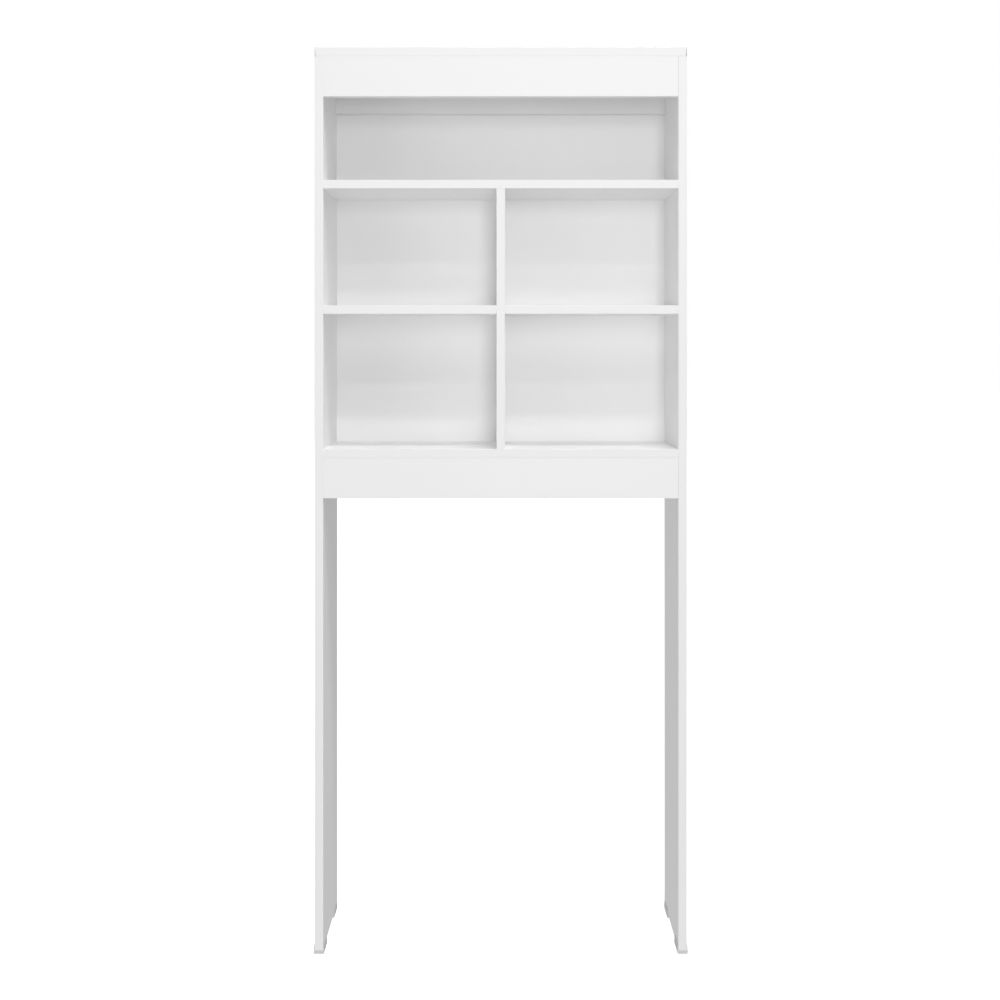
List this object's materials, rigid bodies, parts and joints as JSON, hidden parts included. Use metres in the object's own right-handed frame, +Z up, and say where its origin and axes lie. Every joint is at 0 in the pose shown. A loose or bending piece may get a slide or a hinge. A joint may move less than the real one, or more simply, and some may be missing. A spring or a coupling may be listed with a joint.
{
  "type": "over the toilet storage rack",
  "caption": "Tall white board rack that stands over a toilet: one wide open row, two rows of cubbies split by a divider, and an open bay between two leg panels.",
  "frame": {"origin": "on the floor, at the centre of the footprint", "axes": "+Z up, -Y the open front, +Y the wall side, +X to the right as seen from the front"},
  "size_m": [0.704, 0.2, 1.705],
  "materials": {
    "white_board": "white melamine-faced board, satin",
    "white_hardboard": "white lacquered hardboard, fine texture",
    "edge_band": "white plastic edge band, satin",
    "foot_plastic": "translucent white plastic",
    "cover_cap_plastic": "white plastic, satin",
    "cast_zinc": "die-cast zinc alloy",
    "bright_steel": "zinc-plated steel",
    "beech_dowel": "plain beech"
  },
  "bodies": {
    "root": {"side_panel_left": "white_board", "side_panel_right": "white_board", "top_panel": "white_board", "top_fascia": "white_board", "top_back_rail": "white_board", "upper_shelf": "white_board", "centre_divider": "white_board", "middle_shelf_left": "white_board", "middle_shelf_right": "white_board", "bottom_shelf": "white_board", "bottom_apron": "white_board", "back_panel": "white_hardboard", "side_left_edge_band": "edge_band", "side_right_edge_band": "edge_band", "top_front_edge_band": "edge_band", "top_left_edge_band": "edge_band", "top_right_edge_band": "edge_band", "fascia_edge_band": "edge_band", "back_rail_edge_band": "edge_band", "upper_shelf_edge_band": "edge_band", "divider_edge_band": "edge_band", "middle_left_edge_band": "edge_band", "middle_right_edge_band": "edge_band", "bottom_shelf_edge_band": "edge_band", "apron_edge_band": "edge_band", "foot_cap_front_left": "foot_plastic", "foot_cap_front_right": "foot_plastic", "foot_cap_rear_left": "foot_plastic", "foot_cap_rear_right": "foot_plastic", "cam_locks": "cast_zinc", "cam_bolts": "bright_steel", "divider_bolts": "bright_steel", "wooden_dowels": "beech_dowel", "divider_screws": "bright_steel", "cam_cover_caps": "cover_cap_plastic", "screw_cover_caps": "cover_cap_plastic", "back_panel_nails": "bright_steel", "foot_cap_nails": "bright_steel"}
  },
  "joints": []
}
